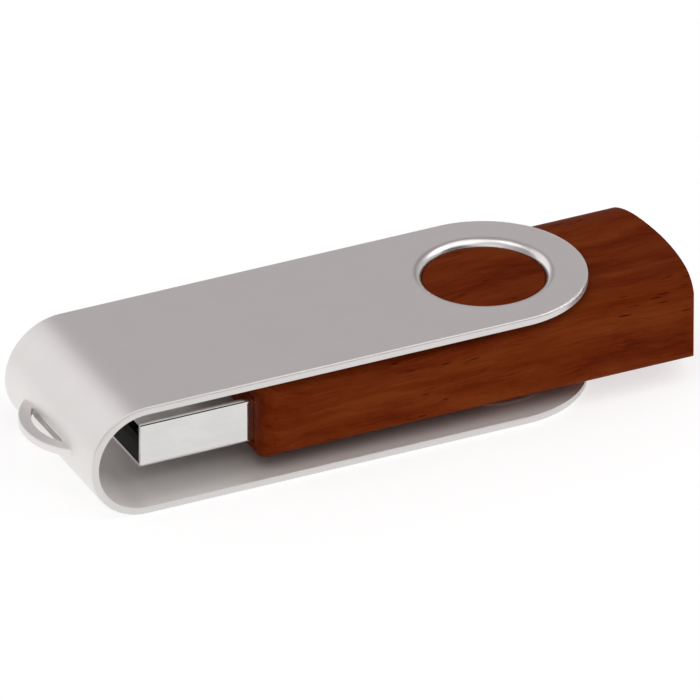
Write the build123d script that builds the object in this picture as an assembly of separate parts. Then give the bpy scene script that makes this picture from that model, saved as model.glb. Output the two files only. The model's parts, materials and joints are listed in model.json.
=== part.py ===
"""Swivel USB flash drive: a wooden body that turns inside a folded aluminium clip.

Millimetres, +Z up. The origin is at the middle of the footprint, on the surface that the lower arm
of the clip rests on. +X points from the bend of the clip, where the plug is parked, to the bare
wooden tail. The body turns about a vertical pivot through the round ends of both arms.
"""

import os

from build123d import *

# ---------------------------------------------------------------- driving dimensions

# Clip: one strip of aluminium sheet, folded once, with a round end on each arm.
CLIP_WIDTH = 18.7
CLIP_HEIGHT = 10.9
SHEET = 0.75
BEND_REACH = 42.95  # pivot axis to the outside of the bend
OUTER_EDGE_ROUND = 0.2
INNER_EDGE_ROUND = 0.08

# Pivot: the rolled rim of each arm's hole turns on a wooden boss.
RIM_BORE = 5.6  # radius of the hole
RIM_ROUND = 0.85  # the rolled-in top edge of the hole
RIM_DEPTH = 1.0  # outer face of the arm to the foot of the rim
RIM_FOOT = 0.5  # width of the foot
RIM_BLEND = 0.9  # width of the pressed zone beside the bore, underneath
BOSS_CLEARANCE = 0.05
BOSS_RECESS = 0.62  # top of the boss below the outer face of the arm
SEAT_GAP = 0.06  # foot of the rim to its seat in the wood
SEAT_RADIUS = 6.2

# Lanyard loop: a crescent tab lanced out of the bend, with a slot behind it.
LOOP_REACH = 45.2  # pivot axis to the tip of the loop
LOOP_RADIUS = 6.7
LOOP_WIDTH = 1.15
LOOP_SHEET = 0.8
LOOP_EDGE = 0.12
SLOT_WIDTH = 6.6
SLOT_HEIGHT = 0.8
SLOT_END = 0.35  # rounding of its ends
SLOT_DROP = 0.6  # floor of the slot, and of the tab, below the middle of the clip

# Wooden body: two shells, glued.
BODY_WIDTH = 17.36
NOSE_REACH = 25.52  # pivot axis to the front face
TAIL_REACH = 18.06  # pivot axis to the crown of the bowed tail
TAIL_BOW = 29.2  # radius of the bow in plan
BODY_TOP = 4.33  # above the middle of the clip
BODY_BOTTOM = 3.8  # below the middle of the clip
SHOULDER_WIDTH = 3.66  # the long edges are rounded as a flat ellipse
SHOULDER_DROP = 1.08  # along the upper edges
BELLY_RISE = 1.35  # along the lower edges
NOSE_ROUND = 0.35  # front edge, above and below
NOSE_CORNER = 1.7  # front corners in plan
TAIL_CORNER = 0.2
SEAM = 0.3  # glue line above the middle of the clip

# Plug: the standard series A outline.
PLUG_WIDTH = 12.0
PLUG_HEIGHT = 4.5
PLUG_REACH = 36.7  # pivot axis to the mouth of the plug
PLUG_LENGTH = 18.0
PLUG_SHEET = 0.3
PLUG_EDGE = 0.35
PLUG_DROP = 0.485  # its middle is this far below the middle of the clip
TONGUE = 1.95
CONTACT_PLACES = {"power": -3.5, "data_minus": -1.0, "data_plus": 1.0, "ground": 3.5}
CONTACT_WIDTH = 1.0
CONTACT_SHEET = 0.2
CONTACT_PROUD = 0.05

# Circuit board and the packages on it.
BOARD_WIDTH = 14.0
BOARD_SHEET = 0.8
BOARD_END = 14.4  # pivot axis to its rear edge, on the tail side
BOARD_NECK = 2.2
LEAD_PITCH = 0.5
LEAD_WIDTH = 0.22
LEAD_SHEET = 0.13

# Clearances inside the wooden body.
FIT = 0.05
POCKET_SIDE = 0.1
POCKET_CORNER = 1.0
LEDGE = 0.7  # width of board edge that rests on wood

# ---------------------------------------------------------------- places worked out from them

PIVOT_X = (LOOP_REACH - TAIL_REACH) / 2
MIDDLE_Z = CLIP_HEIGHT / 2
BEND_X = PIVOT_X - BEND_REACH
BEND_AXIS_X = BEND_X + CLIP_HEIGHT / 2

NOSE_X = PIVOT_X - NOSE_REACH
TAIL_X = PIVOT_X + TAIL_REACH
TOP_Z = MIDDLE_Z + BODY_TOP
BOTTOM_Z = MIDDLE_Z - BODY_BOTTOM
SEAM_Z = MIDDLE_Z + SEAM
SEAT_OFFSET = CLIP_HEIGHT / 2 - RIM_DEPTH - SEAT_GAP  # seat of the rim from the middle of the clip

PLUG_X = PIVOT_X - PLUG_REACH
PLUG_BACK_X = PLUG_X + PLUG_LENGTH
PLUG_Z = MIDDLE_Z - PLUG_DROP
PLUG_FLOOR_Z = PLUG_Z - PLUG_HEIGHT / 2 + PLUG_SHEET
TONGUE_Z = PLUG_FLOOR_Z + TONGUE
CONTACT_Z = TONGUE_Z + CONTACT_PROUD - CONTACT_SHEET

BOARD_TOP_Z = CONTACT_Z
BOARD_BOTTOM_Z = BOARD_TOP_Z - BOARD_SHEET
BOARD_REAR_X = PIVOT_X + BOARD_END
BOARD_SHOULDER_X = PLUG_BACK_X + BOARD_NECK
TAIL_LENGTH = 2.0  # contact tails lie this far onto the board

POCKET_FLOOR_Z = PLUG_Z - PLUG_HEIGHT / 2 - FIT
POCKET_ROOF_Z = PLUG_Z + PLUG_HEIGHT / 2 + FIT
POCKET_REAR_X = BOARD_REAR_X + 2 * POCKET_SIDE

WORK = 40.0  # longer than the object's width and height, for cutting tools


def block(x, y, z):
    """A box between two limits on each axis."""
    corner = Pos((x[0] + x[1]) / 2, (y[0] + y[1]) / 2, (z[0] + z[1]) / 2)
    return corner * Box(x[1] - x[0], y[1] - y[0], z[1] - z[0])


def upright(face, z):
    """A sketch in the XY plane, extruded between two heights."""
    return extrude(Pos(0, 0, z[0]) * face, z[1] - z[0])


# ---------------------------------------------------------------- swivel clip


def folded_strip():
    """The U of sheet, cut to its outline in plan: square at the bend, round at the pivot."""
    arm = PIVOT_X + CLIP_WIDTH - BEND_AXIS_X
    inner = CLIP_HEIGHT / 2 - SHEET
    side = Pos(arm / 2, 0) * Rectangle(arm, CLIP_HEIGHT) + Circle(CLIP_HEIGHT / 2)
    side -= Pos(arm / 2, 0) * Rectangle(arm, 2 * inner) + Circle(inner)
    strip = extrude(Plane.XZ * side, CLIP_WIDTH / 2, both=True)
    strip = Pos(BEND_AXIS_X, 0, MIDDLE_Z) * strip
    length = PIVOT_X - BEND_X + 1
    outline = Pos(PIVOT_X - length / 2, 0) * Rectangle(length, CLIP_WIDTH)
    outline += Pos(PIVOT_X, 0) * Circle(CLIP_WIDTH / 2)
    return strip & upright(outline, (-1, CLIP_HEIGHT + 1))


def rim_edges(strip, half_height):
    """The edges round one face of the strip: at half_height from the middle, and round the bend."""
    found = []
    for edge in strip.edges():
        middle = edge @ 0.5
        across = edge.geom_type == GeomType.LINE and abs((edge % 0.5).Y) > 0.9
        level = abs(abs(middle.Z - MIDDLE_Z) - half_height) < 0.01 and not across
        on_bend = edge.geom_type == GeomType.CIRCLE and abs(edge.radius - half_height) < 0.01
        if level or on_bend:
            found.append(edge)
    return found


def rolled_rim():
    """Section of the upper arm's hole, pressed inwards, turned about the pivot."""
    top = CLIP_HEIGHT / 2
    foot = top - RIM_DEPTH
    under = top - SHEET
    outside = RIM_BORE + RIM_BLEND + 0.3
    foot_out = (RIM_BORE + RIM_FOOT, foot)
    under_in = (RIM_BORE + RIM_BLEND, under)
    section = [
        Line((outside, top), (RIM_BORE + RIM_ROUND, top)),
        RadiusArc((RIM_BORE + RIM_ROUND, top), (RIM_BORE, top - RIM_ROUND), -RIM_ROUND),
        Line((RIM_BORE, top - RIM_ROUND), (RIM_BORE, foot)),
        Line((RIM_BORE, foot), foot_out),
        RadiusArc(foot_out, under_in, RIM_ROUND),
        Line(under_in, (outside, under)),
        Line((outside, under), (outside, top)),
    ]
    return revolve(Plane.XZ * make_face(section), Axis.Z), outside


def lanyard_tab():
    """A ring in plan, cut off within the wall of the bend."""
    face = Circle(LOOP_RADIUS) - Circle(LOOP_RADIUS - LOOP_WIDTH)
    middle_x = PIVOT_X - LOOP_REACH + LOOP_RADIUS
    low = MIDDLE_Z - SLOT_DROP
    loop = Pos(middle_x, 0, 0) * upright(face, (low, low + LOOP_SHEET))
    loop = fillet(loop.edges().filter_by(GeomType.CIRCLE), LOOP_EDGE)
    return loop & block((-WORK, BEND_X + SHEET / 2), (-WORK, WORK), (0, CLIP_HEIGHT))


def lanyard_slot():
    half, low = SLOT_WIDTH / 2, MIDDLE_Z - SLOT_DROP
    slot = block((BEND_X - 1, BEND_X + 2 * SHEET), (-half, half), (low, low + SLOT_HEIGHT))
    return fillet(slot.edges().filter_by(Axis.X), SLOT_END)


def swivel_clip():
    strip = folded_strip()
    strip = fillet(rim_edges(strip, CLIP_HEIGHT / 2), OUTER_EDGE_ROUND)
    strip = fillet(rim_edges(strip, CLIP_HEIGHT / 2 - SHEET), INNER_EDGE_ROUND)
    rim, outside = rolled_rim()
    pivot = Pos(PIVOT_X, 0, MIDDLE_Z)
    strip -= pivot * Cylinder(outside, 2 * CLIP_HEIGHT)
    strip += pivot * rim
    strip += pivot * mirror(rim, Plane.XY)
    return strip - lanyard_slot() + lanyard_tab()


# ---------------------------------------------------------------- wooden shells


def body_plan():
    """Outline from above: rounded front corners, bowed tail."""
    length = TAIL_REACH + NOSE_REACH
    half = BODY_WIDTH / 2
    bar = Pos(NOSE_X + length / 2, 0) * Rectangle(length, BODY_WIDTH)
    bar &= Pos(TAIL_X - TAIL_BOW, 0) * Circle(TAIL_BOW) + Pos(NOSE_X, 0) * Rectangle(length, 2 * BODY_WIDTH)
    front = [v for v in bar.vertices() if v.X < NOSE_X + 1]
    bar = fillet(front, NOSE_CORNER)
    rear = [v for v in bar.vertices() if v.X > PIVOT_X and abs(v.Y) > half - 0.01]
    return fillet(rear, TAIL_CORNER)


def body_section():
    """Cross-section: flat above and below, with flat elliptical shoulders down to upright sides."""
    flat = BODY_WIDTH / 2 - SHOULDER_WIDTH
    high, low = BODY_TOP - SHOULDER_DROP, BELLY_RISE - BODY_BOTTOM
    section = Pos(0, (high + low) / 2) * Rectangle(BODY_WIDTH, high - low)
    section += Pos(0, (BODY_TOP - BODY_BOTTOM) / 2) * Rectangle(2 * flat, BODY_TOP + BODY_BOTTOM)
    for side in (-1, 1):
        section += Pos(side * flat, high) * Ellipse(SHOULDER_WIDTH, SHOULDER_DROP)
        section += Pos(side * flat, low) * Ellipse(SHOULDER_WIDTH, BELLY_RISE)
    return section


def body_side():
    """Side view: the front edge is rounded above and below, the tail is cut square."""
    length = TAIL_REACH + NOSE_REACH
    side = Pos(NOSE_X + length / 2, (TOP_Z + BOTTOM_Z) / 2) * Rectangle(length, BODY_TOP + BODY_BOTTOM)
    return fillet([v for v in side.vertices() if v.X < NOSE_X + 1], NOSE_ROUND)


def wooden_bar():
    """The outside of the two shells together, without the pivot bosses."""
    from_above = upright(body_plan(), (BOTTOM_Z - 1, TOP_Z + 1))
    from_side = extrude(Plane.XZ * body_side(), WORK, both=True)
    along = extrude(Pos(0, 0, MIDDLE_Z) * (Plane.YZ * body_section()), 2 * WORK, both=True)
    return from_above & from_side & along


def seat_disc(z):
    """A disc about the pivot, as wide as the rim's seat, between two heights from the middle of the clip."""
    return Pos(PIVOT_X, 0, MIDDLE_Z) * upright(Circle(SEAT_RADIUS), z)


def boss(side):
    """The wooden disc that turns in an arm's hole. side is 1 above and -1 below."""
    top = side * (CLIP_HEIGHT / 2 - BOSS_RECESS)
    root = side * (BODY_BOTTOM - 1)
    disc = upright(Circle(RIM_BORE - BOSS_CLEARANCE), (min(root, top), max(root, top)))
    face = disc.faces().sort_by(Axis.Z)[-1 if side > 0 else 0]
    return Pos(PIVOT_X, 0, MIDDLE_Z) * fillet(face.edges(), 0.12)


def pocket(z, half_width, x):
    """A milled pocket with the cutter's radius in its rear corners."""
    plan = Pos((x[0] + x[1]) / 2, 0) * Rectangle(x[1] - x[0], 2 * half_width)
    rear = [v for v in plan.vertices() if v.X > x[1] - 1]
    return upright(fillet(rear, POCKET_CORNER), z)


def plug_channel():
    half = PLUG_WIDTH / 2 + FIT
    return block((NOSE_X - 1, BOARD_SHOULDER_X), (-half, half), (POCKET_FLOOR_Z, POCKET_ROOF_Z))


def upper_wood_shell():
    """A low raised ring round the boss carries the rim of the upper arm."""
    bar = wooden_bar() + seat_disc((SEAT_OFFSET - 1, SEAT_OFFSET)) + boss(1)
    shell = bar & block((-WORK, WORK), (-WORK, WORK), (SEAM_Z, 2 * CLIP_HEIGHT))
    half = BOARD_WIDTH / 2 + POCKET_SIDE
    board = pocket((SEAM_Z - 1, POCKET_ROOF_Z), half, (BOARD_SHOULDER_X - FIT, POCKET_REAR_X))
    return shell - plug_channel() - board


def lower_wood_shell():
    """The lower face is further from its arm than the upper one, so its ring is taller."""
    bar = wooden_bar() + seat_disc((-SEAT_OFFSET, -SEAT_OFFSET + 1)) + boss(-1)
    shell = bar & block((-WORK, WORK), (-WORK, WORK), (-1, SEAM_Z))
    half = BOARD_WIDTH / 2 + POCKET_SIDE
    board = pocket((BOARD_BOTTOM_Z, SEAM_Z + 1), half, (BOARD_SHOULDER_X - FIT, POCKET_REAR_X))
    inside = (PLUG_BACK_X, POCKET_REAR_X - LEDGE)
    under_board = pocket((POCKET_FLOOR_Z, SEAM_Z + 1), half - LEDGE, inside)
    return shell - plug_channel() - board - under_board


# ---------------------------------------------------------------- plug

WINDOW = (2.0, 2.3)  # latch windows, along and across
WINDOW_BACK = 6.2  # their middle, behind the mouth
WINDOW_SIDE = 2.95
FLOOR_SEAM = 0.1  # the joint where the shell's sheet meets, along its floor
EAR_LENGTH = 2.0  # solder ears behind the shell
EAR_HEIGHT = 1.6


def plug_shell():
    """Drawn steel tube with four latch windows and two solder ears beside the board's neck."""
    section = RectangleRounded(PLUG_WIDTH, PLUG_HEIGHT, PLUG_EDGE)
    hollow = Rectangle(PLUG_WIDTH - 2 * PLUG_SHEET, PLUG_HEIGHT - 2 * PLUG_SHEET)
    tube = extrude(Pos(PLUG_X, 0, PLUG_Z) * (Plane.YZ * (section - hollow)), PLUG_LENGTH)
    for side in (-1, 1):
        tube -= Pos(PLUG_X + WINDOW_BACK, side * WINDOW_SIDE, PLUG_Z) * Box(*WINDOW, 2 * PLUG_HEIGHT)
        outer, inner = side * PLUG_WIDTH / 2, side * (PLUG_WIDTH / 2 - PLUG_SHEET)
        tube += block(
            (PLUG_BACK_X - 1, PLUG_BACK_X + EAR_LENGTH),
            (min(outer, inner), max(outer, inner)),
            (BOARD_BOTTOM_Z - 0.4, BOARD_BOTTOM_Z - 0.4 + EAR_HEIGHT),
        )
    floor = PLUG_Z - PLUG_HEIGHT / 2
    tube -= block((PLUG_X - 1, PLUG_BACK_X + 1), (-FLOOR_SEAM / 2, FLOOR_SEAM / 2), (floor - 1, floor + 0.12))
    mouth = tube.faces().filter_by(Axis.X).sort_by(Axis.X)[0]
    return chamfer(mouth.edges(), 0.08)


def contact(name):
    """A flat strip let into the tongue, with a tail on the board. The outer pair reaches further forward."""
    y = CONTACT_PLACES[name]
    start = 1.0 if abs(y) > 2 else 2.0
    half = CONTACT_WIDTH / 2
    x = (PLUG_X + start, PLUG_BACK_X + TAIL_LENGTH)
    return block(x, (y - half, y + half), (CONTACT_Z, CONTACT_Z + CONTACT_SHEET))


def plug_insulator():
    """Moulded tongue, open above it at the mouth, and the full-height block behind that the contacts pass."""
    half = PLUG_WIDTH / 2 - PLUG_SHEET - FIT
    set_back, block_start = 0.3, 9.0
    tongue = block((PLUG_X + set_back, PLUG_BACK_X), (-half, half), (PLUG_FLOOR_Z, TONGUE_Z))
    nose = tongue.edges().filter_by(Axis.Y).group_by(Axis.X)[0]
    tongue = chamfer(nose.sort_by(Axis.Z)[-1], 0.4)
    roof = PLUG_Z + PLUG_HEIGHT / 2 - PLUG_SHEET
    body = tongue + block((PLUG_X + block_start, PLUG_BACK_X), (-half, half), (PLUG_FLOOR_Z, roof - FIT))
    for name in CONTACT_PLACES:
        body -= contact(name)
    return body


def solder_wedge(x, y, width, length, height, toward=1):
    """A solder fillet on the board: full height at x, running out along the board."""
    run = Polygon((0, 0), (toward * length, 0), (0, height), align=None)
    wedge = extrude(Plane.XZ * run, width / 2, both=True)
    return Pos(x, y, BOARD_TOP_Z) * wedge


def plug_solder_joints():
    """One fillet at each contact tail, and one inside each ear."""
    height = CONTACT_SHEET * 0.9
    tails = [
        solder_wedge(PLUG_BACK_X + TAIL_LENGTH, y, CONTACT_WIDTH, 0.45, height)
        for y in CONTACT_PLACES.values()
    ]
    inner = PLUG_WIDTH / 2 - PLUG_SHEET
    ears = []
    for side in (-1, 1):
        run = Polygon((side * inner, 0), (side * (inner - 0.5), 0), (side * inner, 0.5), align=None)
        bead = extrude(Plane.YZ * run, 0.7, both=True)
        ears.append(Pos(PLUG_BACK_X + 1.2, 0, BOARD_TOP_Z) * bead)
    return Compound(children=tails + ears)


# ---------------------------------------------------------------- circuit board


def circuit_board():
    """Full width behind the plug, with a neck between the solder ears."""
    neck = PLUG_WIDTH / 2 - PLUG_SHEET
    length = BOARD_REAR_X - BOARD_SHOULDER_X
    plan = Pos(BOARD_REAR_X - length / 2, 0) * Rectangle(length, BOARD_WIDTH)
    plan = fillet([v for v in plan.vertices() if v.X > PIVOT_X], POCKET_CORNER)
    plan += Pos(BOARD_SHOULDER_X - BOARD_NECK / 2 + 0.5, 0) * Rectangle(BOARD_NECK + 1, 2 * neck)
    return upright(plan, (BOARD_BOTTOM_Z, BOARD_TOP_Z))


# Packages: middle in plan from the pivot axis, size along and across, height. All stand on the board's top.
STAND_OFF = 0.1
MEMORY = {"place": (4.1, 0.0), "size": (18.4, 12.0), "height": 1.0, "span": 20.0, "leads": 24}
CONTROLLER = {"place": (-11.3, -2.1), "size": (7.0, 7.0), "height": 1.4, "span": 9.0, "leads": 12}
CRYSTAL = {"place": (-11.6, 4.8), "size": (5.0, 3.2), "height": 0.8}
REGULATOR = {"place": (-11.0, 0.0), "size": (1.3, 2.9), "height": 1.0, "span": 2.4}


def package(spec):
    """Moulded package with a shallow pin-one dimple in a corner."""
    (along, across), height = spec["size"], spec["height"]
    low = BOARD_TOP_Z + STAND_OFF
    body = upright(Rectangle(along, across), (low, low + height))
    body = chamfer(body.edges().filter_by(Axis.Z), 0.25)
    dimple = Pos(0.9 - along / 2, 0.9 - across / 2, low + height) * Cylinder(0.35, 0.1)
    return Pos(PIVOT_X + spec["place"][0], spec["place"][1], 0) * (body - dimple)


def gull_lead(reach, span, height):
    """One lead in the XZ plane: out of the package at reach, down, and flat on the board out to span."""
    top = STAND_OFF + (height + LEAD_SHEET) / 2
    knee = reach + (span - reach) * 0.35
    slope = 0.1
    section = Polygon(
        (reach, top - LEAD_SHEET),
        (knee, top - LEAD_SHEET),
        (knee + slope, 0),
        (span, 0),
        (span, LEAD_SHEET),
        (knee + slope + LEAD_SHEET, LEAD_SHEET),
        (knee + LEAD_SHEET, top),
        (reach, top),
        align=None,
    )
    return extrude(Plane.XZ * section, LEAD_WIDTH / 2, both=True)


def leads(spec, sides):
    """A row of leads on each of the named sides, given as the angle in degrees that it faces."""
    made = []
    for angle in sides:
        along = spec["size"][0] if angle % 180 == 0 else spec["size"][1]
        lead = gull_lead(along / 2, spec["span"] / 2, spec["height"])
        for k in range(spec["leads"]):
            step = (k - (spec["leads"] - 1) / 2) * LEAD_PITCH
            made.append(Rot(0, 0, angle) * Pos(0, step, 0) * lead)
    return Pos(PIVOT_X + spec["place"][0], spec["place"][1], BOARD_TOP_Z) * Compound(children=made)


def crystal_base():
    place = Pos(PIVOT_X + CRYSTAL["place"][0], CRYSTAL["place"][1], 0)
    plan = RectangleRounded(*CRYSTAL["size"], 0.3)
    return place * upright(plan, (BOARD_TOP_Z, BOARD_TOP_Z + CRYSTAL["height"]))


def crystal_lid():
    """Seam-welded metal lid, a little smaller than its ceramic base."""
    along, across = CRYSTAL["size"]
    low = BOARD_TOP_Z + CRYSTAL["height"]
    lid = upright(RectangleRounded(along - 0.5, across - 0.5, 0.3), (low, low + 0.35))
    lid = fillet(lid.faces().sort_by(Axis.Z)[-1].edges(), 0.12)
    return Pos(PIVOT_X + CRYSTAL["place"][0], CRYSTAL["place"][1], 0) * lid


def hung(shape):
    """Turns a part that stands on the board's top over, to hang from its underside."""
    middle = (BOARD_TOP_Z + BOARD_BOTTOM_Z) / 2
    return Pos(0, 0, middle) * (Rot(180, 0, 0) * (Pos(0, 0, -middle) * shape))


def voltage_regulator():
    return hung(package(REGULATOR))


def regulator_leads():
    """Three leads: one on one side, two on the other."""
    lead = gull_lead(REGULATOR["size"][0] / 2, REGULATOR["span"] / 2, REGULATOR["height"])
    places = [(0, 0.0), (180, 0.95), (180, -0.95)]
    made = [Rot(0, 0, angle) * Pos(0, y, 0) * lead for angle, y in places]
    stood = Pos(PIVOT_X + REGULATOR["place"][0], REGULATOR["place"][1], BOARD_TOP_Z) * Compound(children=made)
    return hung(stood)


# Chip parts: place from the pivot axis, turned by 90 degrees or not, above or below the board.
CHIP_LENGTH = 1.6
CHIP_WIDTH = 0.8
CHIP_CAP = 0.3
CAPACITOR_HEIGHT = 0.75
RESISTOR_HEIGHT = 0.45
CAPACITORS = [
    (-15.4, 5.5, 90, "above"),
    (-15.4, 3.4, 90, "above"),
    (-7.7, 5.5, 90, "above"),
    (-8.2, 2.6, 90, "below"),
    (-8.2, -2.6, 90, "below"),
    (-13.6, 3.4, 90, "below"),
]
RESISTORS = [
    (-7.7, 3.4, 90, "above"),
    (-13.6, -3.4, 90, "below"),
    (-5.4, 2.6, 0, "below"),
    (-5.4, -2.6, 0, "below"),
]


def chip_parts(places, height, part):
    """part is body, the ceramic between the caps, or caps, the two metal ends of each chip."""
    half = CHIP_LENGTH / 2
    z = (BOARD_TOP_Z, BOARD_TOP_Z + height)
    y = (-CHIP_WIDTH / 2, CHIP_WIDTH / 2)
    if part == "body":
        shapes = [block((CHIP_CAP - half, half - CHIP_CAP), y, z)]
    else:
        shapes = [block((-half, CHIP_CAP - half), y, z), block((half - CHIP_CAP, half), y, z)]
    made = []
    for along, across, angle, where in places:
        for shape in shapes:
            placed = Pos(PIVOT_X + along, across, 0) * (Rot(0, 0, angle) * shape)
            made.append(placed if where == "above" else hung(placed))
    return Compound(children=made)


def foam_pad():
    """Fills the space between the board and the floor of the pocket, under the memory package."""
    x = (PIVOT_X - 1.0, PIVOT_X + 12.0)
    return block(x, (-5.0, 5.0), (POCKET_FLOOR_Z, BOARD_BOTTOM_Z))


# ---------------------------------------------------------------- one file for each piece


def pieces():
    made = {
        "swivel_clip": swivel_clip(),
        "upper_wood_shell": upper_wood_shell(),
        "lower_wood_shell": lower_wood_shell(),
        "plug_shell": plug_shell(),
        "plug_insulator": plug_insulator(),
        "plug_solder_joints": plug_solder_joints(),
        "circuit_board": circuit_board(),
        "memory_package": package(MEMORY),
        "memory_leads": leads(MEMORY, (0, 180)),
        "controller_package": package(CONTROLLER),
        "controller_leads": leads(CONTROLLER, (0, 90, 180, 270)),
        "crystal_base": crystal_base(),
        "crystal_lid": crystal_lid(),
        "voltage_regulator": voltage_regulator(),
        "regulator_leads": regulator_leads(),
        "ceramic_capacitors": chip_parts(CAPACITORS, CAPACITOR_HEIGHT, "body"),
        "capacitor_end_caps": chip_parts(CAPACITORS, CAPACITOR_HEIGHT, "caps"),
        "chip_resistors": chip_parts(RESISTORS, RESISTOR_HEIGHT, "body"),
        "resistor_end_caps": chip_parts(RESISTORS, RESISTOR_HEIGHT, "caps"),
        "foam_pad": foam_pad(),
    }
    for name in CONTACT_PLACES:
        made[f"contact_{name}"] = contact(name)
    return made


os.makedirs("parts", exist_ok=True)
for node, shape in pieces().items():
    export_step(shape, f"parts/{node}.step")
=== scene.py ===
import json
from math import cos, pi, radians, sin

import bpy
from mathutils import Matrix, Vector


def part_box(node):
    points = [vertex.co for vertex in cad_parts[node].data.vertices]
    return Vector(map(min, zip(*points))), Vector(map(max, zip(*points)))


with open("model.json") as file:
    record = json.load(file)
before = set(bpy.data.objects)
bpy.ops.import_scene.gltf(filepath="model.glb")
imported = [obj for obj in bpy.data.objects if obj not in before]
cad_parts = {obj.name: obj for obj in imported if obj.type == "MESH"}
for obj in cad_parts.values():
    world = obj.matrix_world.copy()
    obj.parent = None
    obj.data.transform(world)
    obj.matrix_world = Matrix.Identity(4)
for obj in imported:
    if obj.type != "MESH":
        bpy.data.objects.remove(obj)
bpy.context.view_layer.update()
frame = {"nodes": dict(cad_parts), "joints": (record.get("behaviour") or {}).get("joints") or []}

MM = 0.001
nodes = frame["nodes"]
swivel = next(joint for joint in frame["joints"] if joint["name"] == "swivel")
pivot = Vector(swivel["pos_m"])


# ------------------------------------------------------------------------------------------------
# Camera. A long lens from far away, a little left of the drive's side and 30 degrees up, so that
# the clip's long edges stay parallel. It looks at a point between the pivot and the plug.

TURN = radians(-25.1)
RISE = radians(29.91)
LENS = 1500.0
STAND_BACK = 2.6135

right = Vector((cos(TURN), sin(TURN), 0))
back = Vector((sin(TURN) * cos(RISE), -cos(TURN) * cos(RISE), sin(RISE)))
up = back.cross(right)
aim = pivot - 11.974 * MM * right - 2.291 * MM * up

camera = bpy.data.objects.new("camera", bpy.data.cameras.new("camera"))
bpy.context.scene.collection.objects.link(camera)
bpy.context.scene.camera = camera
camera.location = aim + STAND_BACK * back
camera.rotation_euler = back.to_track_quat("Z", "Y").to_euler()
camera.data.lens = LENS
camera.data.clip_start = 0.1
camera.data.clip_end = 40.0


# ------------------------------------------------------------------------------------------------
# Shader arithmetic, used by every finish below. A finish is a Principled surface whose changing
# inputs are formulas on the object's own millimetres.


class Wire:
    """A node's output. Sums on it add Math nodes, so that a mask reads as a formula."""

    def __init__(self, tree, socket):
        self.tree = tree
        self.socket = socket

    def node(self, kind, settings=None, inputs=None, output=0):
        """Adds one node: its settings first, then values or wires for its sockets."""
        made = self.tree.nodes.new(kind)
        for name, value in (settings or {}).items():
            if name == "stops":
                place_stops(made.color_ramp, value)
            else:
                setattr(made, name, value)
        for name, value in (inputs or {}).items():
            if isinstance(value, Wire):
                self.tree.links.new(value.socket, made.inputs[name])
            else:
                made.inputs[name].default_value = value
        return Wire(self.tree, made.outputs[output])

    def math(self, operation, *values):
        return self.node("ShaderNodeMath", {"operation": operation}, dict(enumerate(values)))

    def __add__(self, other):
        return self.math("ADD", self, other)

    def __sub__(self, other):
        return self.math("SUBTRACT", self, other)

    def __rsub__(self, other):
        return self.math("SUBTRACT", other, self)

    def __mul__(self, other):
        return self.math("MULTIPLY", self, other)

    def __abs__(self):
        return self.math("ABSOLUTE", self)

    __radd__ = __add__
    __rmul__ = __mul__

    def smaller(self, other):
        return self.math("MINIMUM", self, other)

    def larger(self, other):
        return self.math("MAXIMUM", self, other)

    def length(self, other):
        """Distance from the origin of a point that has these two coordinates."""
        return self.math("SQRT", self * self + other * other)

    def ramp(self, low, high):
        """0 below low and 1 above high, with a smooth way between. High may be the smaller one."""
        limits = {"From Min": low, "From Max": high}
        settings = {"interpolation_type": "SMOOTHSTEP"}
        return self.node("ShaderNodeMapRange", settings, {"Value": self, **limits})

    def along(self, x, y, z):
        """These coordinates stretched: a small number makes long features that way."""
        settings = {"operation": "MULTIPLY"}
        return self.node("ShaderNodeVectorMath", settings, {0: self, 1: (x, y, z)})

    def moved_by(self, other):
        return self.node("ShaderNodeVectorMath", {"operation": "ADD"}, {0: self, 1: other})

    def part(self, axis):
        return self.node("ShaderNodeSeparateXYZ", None, {"Vector": self}, "XYZ".index(axis))

    def noise(self, scale, detail=2.0, roughness=0.5, output=0):
        """Soft noise about 0.5. Scale is in features for each unit of these coordinates."""
        values = {"Vector": self, "Scale": scale, "Detail": detail, "Roughness": roughness}
        return self.node("ShaderNodeTexNoise", None, values, output)

    def cells(self, scale, feature="F1", randomness=1.0):
        """Distance to the nearest cell middle, or to the nearest cell wall."""
        values = {"Vector": self, "Scale": scale, "Randomness": randomness}
        return self.node("ShaderNodeTexVoronoi", {"feature": feature}, values)

    def mix(self, low, high):
        """A colour between two, with this wire as the share of the second."""
        values = {0: self, 6: low, 7: high}
        return self.node("ShaderNodeMix", {"data_type": "RGBA"}, values, 2)

    def bump(self, depth_mm, strength=1.0):
        """A surface normal for this height, where 1 stands for depth_mm."""
        values = {"Height": self, "Strength": strength, "Distance": depth_mm * MM}
        return self.node("ShaderNodeBump", None, values)


def place_stops(ramp, stops):
    """A colour ramp's stops, as (place, colour) pairs in order."""
    while len(ramp.elements) < len(stops):
        ramp.elements.new(1.0)
    for element, (place, colour) in zip(ramp.elements, stops):
        element.position = place
        element.color = colour


def finish(name):
    """A new material: its Principled node, and the object's coordinates in millimetres."""
    material = bpy.data.materials.new(name)
    material.use_nodes = True
    tree = material.node_tree
    surface = tree.nodes["Principled BSDF"]
    place = tree.nodes.new("ShaderNodeTexCoord").outputs["Object"]
    millimetres = Wire(tree, place).along(1000.0, 1000.0, 1000.0)
    return material, surface, millimetres


def feed(surface, **inputs):
    """Sets a Principled node's sockets, named as words_like_this, to values or wires."""
    for name, value in inputs.items():
        socket = surface.inputs[name.replace("_", " ").title().replace("Ior", "IOR")]
        if isinstance(value, Wire):
            value.tree.links.new(value.socket, socket)
        else:
            socket.default_value = value


def paint(material, *names):
    """Puts one finish on whole CAD pieces."""
    for name in names:
        slots = nodes[name].data.materials
        slots.clear()
        slots.append(material)


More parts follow.
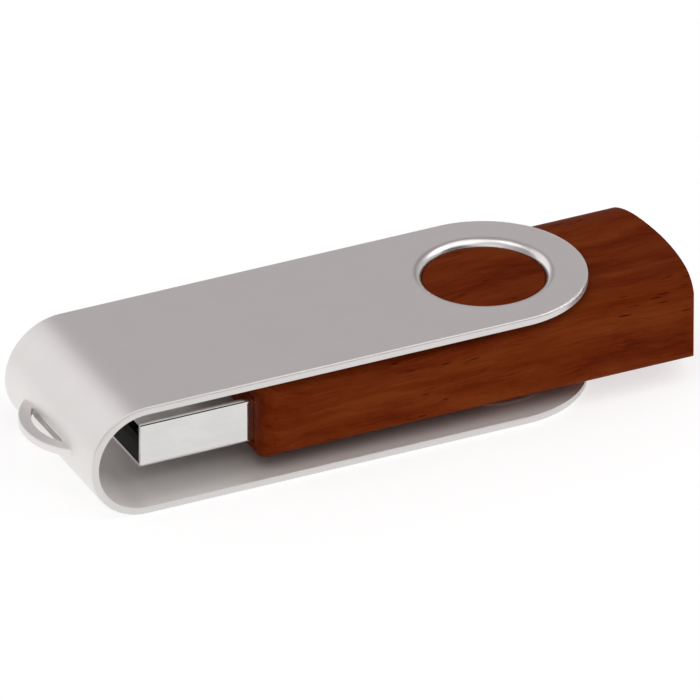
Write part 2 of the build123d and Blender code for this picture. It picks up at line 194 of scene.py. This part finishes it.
# ------------------------------------------------------------------------------------------------
# Swivel clip. One strip of aluminium, blanked, bead blasted and clear anodised, then folded. The
# pivot holes are rolled inwards on a polished punch, which leaves their lips bright. The inside of
# the fold is painted paler and less metallic: painted light that lifts the shade under the wood.
# The blanked edges are painted darker: painted shade that tones down their bright floor reflection.

CLIP_COLOUR = (0.83, 0.815, 0.805, 1.0)
CLIP_SHADE = (0.815, 0.80, 0.79, 1.0)
CLIP_ROUGHNESS = 0.42
CLIP_METALLIC = 0.66  # the blasted skin scatters a share of the light
# Painted light: a paler colour and less metal inside the fold, to lift the shade under the wood.
INSIDE_PAINTED_LIGHT = (0.90, 0.87, 0.85, 1.0)
INSIDE_METALLIC = 0.45
INSIDE_DEPTH = (0.5, 0.7)  # how far in from the outer skin the inside begins, and is full
BEND_REACH = 42.95  # from the pivot to the outer skin of the bend
# Painted shade: the cut edges are darkened to tone down their bright reflection of the floor.
EDGE_PAINTED_SHADE = (0.70, 0.685, 0.675, 1.0)
EDGE_DEPTH = (0.16, 0.04)  # the same, in from the strip's edge
EDGE_POLISH = 0.3  # as a share of the lip's
LIP_RADIUS = (6.5, 6.1)
LIP_ROUGHNESS = 0.29

clip_low, clip_high = [Vector(corner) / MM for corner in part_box("swivel_clip")]
half_width = (clip_high.y - clip_low.y) / 2
fold = (clip_high.z - clip_low.z) / 2
aluminium, surface, place = finish("satin_aluminium")
past_pivot = place.part("X") - pivot.x / MM
past_fold = (fold - BEND_REACH - past_pivot).larger(0.0)
from_fold = past_fold.length(place.part("Z") - fold)
from_spine = past_pivot.larger(0.0).length(place.part("Y"))
lip = past_pivot.length(place.part("Y")).ramp(*LIP_RADIUS)
# Painted light mask: the inside of the fold, away from the lips.
painted_light_inside = from_fold.ramp(*[fold - depth for depth in INSIDE_DEPTH]) * (1 - lip)
# Mask of the cut edges, which carries their painted shade and their smoother roughness.
cut_edge = from_spine.ramp(*[half_width - depth for depth in EDGE_DEPTH])
bright = lip.larger(EDGE_POLISH * cut_edge)
cloud = place.noise(0.22, 3.0)
blast = place.noise(9.0, 3.0, 0.6)
handling = place.along(0.25, 1.4, 1.4).noise(0.8, 4.0, 0.6).ramp(0.45, 0.75)
roughness = CLIP_ROUGHNESS + 0.03 * (cloud - 0.5) + 0.02 * handling + 0.05 * (blast - 0.5)
skin = cloud.ramp(0.3, 0.7).mix(CLIP_COLOUR, CLIP_SHADE)
feed(
    surface,
    base_color=cut_edge.mix(painted_light_inside.mix(skin, INSIDE_PAINTED_LIGHT), EDGE_PAINTED_SHADE),
    metallic=CLIP_METALLIC + (1 - CLIP_METALLIC) * lip - (CLIP_METALLIC - INSIDE_METALLIC) * painted_light_inside,
    roughness=roughness - bright * (CLIP_ROUGHNESS - LIP_ROUGHNESS),
    normal=(blast * (1 - 0.8 * bright)).bump(0.004, 0.5),
)
paint(aluminium, "swivel_clip")


# ------------------------------------------------------------------------------------------------
# Wooden body. Two shells milled from one piece of reddish hardwood and glued, so the figure runs
# on across the joint. The grain lies along the drive; the surface is oiled and rubbed to a sheen.

WOOD_DARK = (0.078, 0.0095, 0.0016, 1.0)
WOOD_RED = (0.129, 0.0172, 0.0020, 1.0)
WOOD_BROWN = (0.150, 0.0250, 0.0040, 1.0)
WOOD_ORANGE = (0.180, 0.0340, 0.0058, 1.0)
WOOD_PORE = (0.010, 0.003, 0.002, 1.0)

wood, surface, place = finish("oiled_hardwood")
drift = place.along(0.05, 0.12, 0.12).noise(1.0, 2.0, output=1)
drift = drift.node("ShaderNodeVectorMath", {"operation": "SUBTRACT"}, {0: drift, 1: (0.5, 0.5, 0.5)})
grain = place.moved_by(drift.along(0.0, 4.0, 4.0))
bands = grain.along(0.04, 0.40, 0.40).noise(1.0, 2.0, 0.5)
streaks = grain.along(0.07, 1.3, 1.3).noise(1.0, 4.0, 0.62)
fibres = grain.along(0.30, 6.0, 6.0).noise(1.0, 4.0, 0.75)
mottle = grain.along(0.24, 0.8, 0.8).noise(1.0, 4.0, 0.65)

# The figure is broad bands with finer streaks, fibres and mottle on them.
tone = 0.36 * bands + 0.18 * streaks + 0.24 * fibres + 0.22 * mottle
stops = [(0.40, WOOD_DARK), (0.47, WOOD_RED), (0.53, WOOD_BROWN), (0.60, WOOD_ORANGE)]
colour = tone.node("ShaderNodeValToRGB", {"stops": stops}, {0: tone})

# The pores are short dark dashes along the grain, in crowds.
crowd = grain.along(0.08, 0.32, 0.32).noise(1.0, 2.0).ramp(0.51, 0.58)
dash = grain.along(0.22, 2.6, 2.6).cells(1.0)
pore = dash.ramp(0.20, 0.10) * crowd
colour = pore.mix(colour, WOOD_PORE)

feed(
    surface,
    base_color=colour,
    roughness=0.46 + 0.12 * (fibres - 0.5) + 0.2 * pore,
    specular_ior_level=0.015,
    coat_weight=0.01 * mottle.ramp(0.4, 0.7),
    coat_roughness=0.32,
    normal=(0.35 * fibres - pore).bump(0.03, 0.6),
)
paint(wood, "upper_wood_shell", "lower_wood_shell")


# ------------------------------------------------------------------------------------------------
# Plug shell. Folded from thin steel strip and nickel plated bright; the floor of the shell shows
# the joint where the strip's ends meet.

plating, surface, place = finish("bright_nickel")
smear = place.along(0.3, 0.7, 0.7).noise(1.0, 4.0, 0.6)
rub = place.along(0.4, 12.0, 12.0).noise(1.0, 2.0).ramp(0.55, 0.8)
feed(
    surface,
    base_color=smear.ramp(0.35, 0.65).mix((0.70, 0.70, 0.695, 1.0), (0.67, 0.67, 0.665, 1.0)),
    metallic=1.0,
    roughness=0.07 + 0.05 * (smear - 0.5) + 0.04 * rub,
    normal=smear.bump(0.004, 0.3),
)
paint(plating, "plug_shell")


# ------------------------------------------------------------------------------------------------
# Plug insulator. The tongue and block that hold the contacts, moulded in glass-filled black
# plastic and pressed into the shell.

black, surface, place = finish("moulded_black")
grain = place.noise(6.0, 3.0, 0.6)
flow = place.along(0.2, 1.0, 1.0).noise(1.0, 2.0)
feed(
    surface,
    base_color=flow.mix((0.005, 0.005, 0.005, 1.0), (0.008, 0.008, 0.008, 1.0)),
    roughness=0.5 + 0.12 * (grain - 0.5),
    specular_ior_level=0.15,
    normal=grain.bump(0.01, 0.5),
)
paint(black, "plug_insulator")


# ------------------------------------------------------------------------------------------------
# Contacts. Four strips of phosphor bronze let into the tongue, gold plated over nickel, with the
# fine lengthwise marks that a socket's springs rub into them.

gold, surface, place = finish("contact_gold")
rubbed = place.along(0.3, 18.0, 1.0).noise(1.0, 2.0)
feed(
    surface,
    base_color=rubbed.mix((0.86, 0.60, 0.22, 1.0), (0.93, 0.69, 0.31, 1.0)),
    metallic=1.0,
    roughness=0.2 + 0.15 * (rubbed - 0.5),
    normal=rubbed.bump(0.004, 0.4),
)
contacts = [f"contact_{line}" for line in ("power", "data_minus", "data_plus", "ground")]
paint(gold, *contacts)


# ------------------------------------------------------------------------------------------------
# Solder. Lead-free fillets at the contacts' tails and at the shell's ears: bright, with a faint
# frosting where they froze.

solder, surface, place = finish("solder")
frost = place.cells(7.0).ramp(0.1, 0.6)
feed(
    surface,
    base_color=frost.mix((0.70, 0.70, 0.68, 1.0), (0.58, 0.58, 0.565, 1.0)),
    metallic=1.0,
    roughness=0.22 + 0.2 * frost,
    normal=frost.bump(0.01, 0.5),
)
paint(solder, "plug_solder_joints")


# ------------------------------------------------------------------------------------------------
# Circuit board. Glass-epoxy laminate under green solder resist, with copper tracks that show as a
# paler green. The cut edges show the bare laminate.

board_mm = [[value / MM for value in corner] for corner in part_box("circuit_board")]
resist, surface, place = finish("green_board")
squares = place.along(1.0, 1.0, 0.0)
tracks = squares.cells(0.9, "DISTANCE_TO_EDGE", 0.6).ramp(0.07, 0.045)
height = place.part("Z")
edge = height.ramp(board_mm[1][2] - 0.02, board_mm[1][2] - 0.06)
edge = edge * height.ramp(board_mm[0][2] + 0.02, board_mm[0][2] + 0.06)
weave = place.along(1.0, 1.0, 0.0).noise(5.0, 1.0)
green = tracks.mix((0.010, 0.085, 0.030, 1.0), (0.022, 0.150, 0.055, 1.0))
feed(
    surface,
    base_color=edge.mix(green, (0.42, 0.38, 0.20, 1.0)),
    roughness=0.28 + 0.3 * edge + 0.05 * (weave - 0.5),
    normal=(tracks + 0.2 * weave).bump(0.03, 0.5),
)
paint(resist, "circuit_board")


# ------------------------------------------------------------------------------------------------
# Packages. The memory, the controller and the regulator are moulded in black epoxy, matt from the
# spark-eroded mould.

epoxy, surface, place = finish("black_epoxy")
spark = place.noise(11.0, 2.0, 0.6)
bloom = place.noise(0.5, 2.0)
feed(
    surface,
    base_color=bloom.mix((0.016, 0.016, 0.018, 1.0), (0.030, 0.030, 0.032, 1.0)),
    roughness=0.62 + 0.15 * (spark - 0.5),
    normal=spark.bump(0.012, 0.7),
)
paint(epoxy, "memory_package", "controller_package", "voltage_regulator")


# ------------------------------------------------------------------------------------------------
# Leads and end caps. Copper alloy stamped or fired on, plated with matt tin.

tin, surface, place = finish("matt_tin")
crystals = place.noise(14.0, 2.0)
feed(
    surface,
    base_color=crystals.mix((0.60, 0.60, 0.585, 1.0), (0.70, 0.695, 0.68, 1.0)),
    metallic=1.0,
    roughness=0.34 + 0.15 * (crystals - 0.5),
    normal=crystals.bump(0.004, 0.5),
)
tinned = ["memory_leads", "controller_leads", "regulator_leads"]
paint(tin, *tinned, "capacitor_end_caps", "resistor_end_caps")


# ------------------------------------------------------------------------------------------------
# Crystal. A white ceramic tray with a thin metal lid seam-welded on; the weld leaves a duller rim
# round the lid.

tray, surface, place = finish("white_ceramic")
speckle = place.noise(8.0, 2.0)
feed(
    surface,
    base_color=speckle.mix((0.62, 0.58, 0.48, 1.0), (0.72, 0.68, 0.58, 1.0)),
    roughness=0.5 + 0.1 * (speckle - 0.5),
    normal=speckle.bump(0.006, 0.4),
)
paint(tray, "crystal_base")

lid, surface, place = finish("crystal_lid")
low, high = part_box("crystal_lid")
middle = (Vector(low) + Vector(high)) / 2 / MM
half = (Vector(high) - Vector(low)) / 2 / MM
inset_x = half.x - abs(place.part("X") - middle.x)
inset_y = half.y - abs(place.part("Y") - middle.y)
weld = inset_x.smaller(inset_y).ramp(0.35, 0.2)
ripple = place.noise(10.0, 2.0)
feed(
    surface,
    base_color=weld.mix((0.72, 0.70, 0.66, 1.0), (0.52, 0.50, 0.47, 1.0)),
    metallic=1.0,
    roughness=0.26 + 0.2 * weld + 0.08 * (ripple - 0.5),
    normal=(weld * ripple).bump(0.02, 0.6),
)
paint(lid, "crystal_lid")


# ------------------------------------------------------------------------------------------------
# Chip parts. Capacitors are tan layered ceramic; resistors are white ceramic under a black glass
# coat.

tan, surface, place = finish("capacitor_ceramic")
layers = place.noise(6.0, 2.0)
feed(
    surface,
    base_color=layers.mix((0.36, 0.23, 0.12, 1.0), (0.45, 0.30, 0.17, 1.0)),
    roughness=0.5 + 0.15 * (layers - 0.5),
    normal=layers.bump(0.006, 0.4),
)
paint(tan, "ceramic_capacitors")

glaze, surface, place = finish("resistor_glass")
pits = place.noise(7.0, 2.0)
feed(
    surface,
    base_color=pits.mix((0.020, 0.020, 0.024, 1.0), (0.034, 0.034, 0.040, 1.0)),
    roughness=0.3 + 0.15 * (pits - 0.5),
    normal=pits.bump(0.006, 0.4),
)
paint(glaze, "chip_resistors")


# ------------------------------------------------------------------------------------------------
# Foam pad. Closed-cell rubber foam, die cut, which keeps the board from rattling in the wood.

foam, surface, place = finish("closed_cell_foam")
bubbles = place.cells(3.2).ramp(0.0, 0.5)
feed(
    surface,
    base_color=bubbles.mix((0.022, 0.022, 0.023, 1.0), (0.050, 0.050, 0.052, 1.0)),
    roughness=0.75 + 0.15 * bubbles,
    normal=bubbles.bump(0.08, 0.7),
)
paint(foam, "foam_pad")


# ------------------------------------------------------------------------------------------------
# Floor. A white light table, a hair's breadth under the clip's lower arm. It glows, so shadows on
# it stay faint.

FLOOR_SIZE = 12.0
FLOOR_GAP = 0.02 * MM
FLOOR_GLOW = 0.66

bpy.ops.object.select_all(action="DESELECT")
bpy.ops.mesh.primitive_plane_add(size=FLOOR_SIZE, location=(0, 0, -FLOOR_GAP))
bpy.ops.object.transform_apply(location=True, rotation=False, scale=False)
floor = bpy.context.object
floor.name = "floor"
paper, surface, place = finish("pale_floor")
fleck = place.noise(0.02, 2.0)
feed(
    surface,
    base_color=fleck.mix((0.44, 0.44, 0.44, 1.0), (0.46, 0.46, 0.46, 1.0)),
    roughness=0.9,
    specular_ior_level=0.2,
    emission_color=(1.0, 1.0, 1.0, 1.0),
    emission_strength=FLOOR_GLOW,
)
floor.data.materials.append(paper)


# ------------------------------------------------------------------------------------------------
# Light. Soft boxes in a pale room: one behind on the left that lights the clip's bend, two overhead,
# and one on each side for the lips and edges. The room is grey behind the drive, where a paler band
# runs low down and on the right. It is lighter in front, but for one dark wall.

BOX_DISTANCE = 0.7
SOFT_BOXES = {  # name: (where it stands, its side in metres, its radiance)
    "left_box": ((-0.44, 0.78, 0.47), 0.60, 0.72),
    "top_box": ((0.25, -0.42, 0.87), 0.70, 0.76),
    "front_box": ((-0.60, -0.78, 0.18), 0.50, 0.32),
    "right_box": ((0.74, -0.22, 0.63), 0.40, 1.40),
    "high_box": ((-0.42, 0.06, 0.90), 0.38, 1.20),
}
ROOM_BEHIND = (0.275, 0.248, 0.252, 1.0)
ROOM_IN_FRONT = (0.64, 0.62, 0.61, 1.0)
PALE_BAND = (0.52, 0.52, 0.52, 1.0)
DARK_WALL = (0.03, 0.03, 0.03, 1.0)
WHITE = (1.0, 1.0, 1.0, 1.0)

for name, (direction, size, radiance) in SOFT_BOXES.items():
    lamp = bpy.data.lights.new(name, "AREA")
    lamp.size = size
    lamp.energy = radiance * pi * size * size
    box = bpy.data.objects.new(name, lamp)
    bpy.context.scene.collection.objects.link(box)
    toward = Vector(direction).normalized()
    box.location = toward * BOX_DISTANCE
    box.rotation_euler = toward.to_track_quat("Z", "Y").to_euler()

world = bpy.data.worlds.new("room")
bpy.context.scene.world = world
world.use_nodes = True
tree = world.node_tree
ray = Wire(tree, tree.nodes.new("ShaderNodeTexCoord").outputs["Generated"])
front = ray.part("Y").ramp(0.3, -0.6)
low_band = ray.part("Z").ramp(0.30, 0.12).larger(ray.part("X").ramp(0.66, 0.88)) * (1 - front)
wall_way = Vector((0.42, -0.87, 0.26)).normalized()
facing_wall = ray.node("ShaderNodeVectorMath", {"operation": "DOT_PRODUCT"}, {0: ray, 1: wall_way}, 1)
seen = Wire(tree, tree.nodes.new("ShaderNodeLightPath").outputs["Is Camera Ray"])
room = front.mix(ROOM_BEHIND, ROOM_IN_FRONT)
room = low_band.mix(room, PALE_BAND)
room = facing_wall.ramp(0.88, 0.93).mix(room, DARK_WALL)
room = seen.mix(room, WHITE)
tree.links.new(room.socket, tree.nodes["Background"].inputs["Color"])

bpy.context.scene.view_settings.view_transform = "Standard"
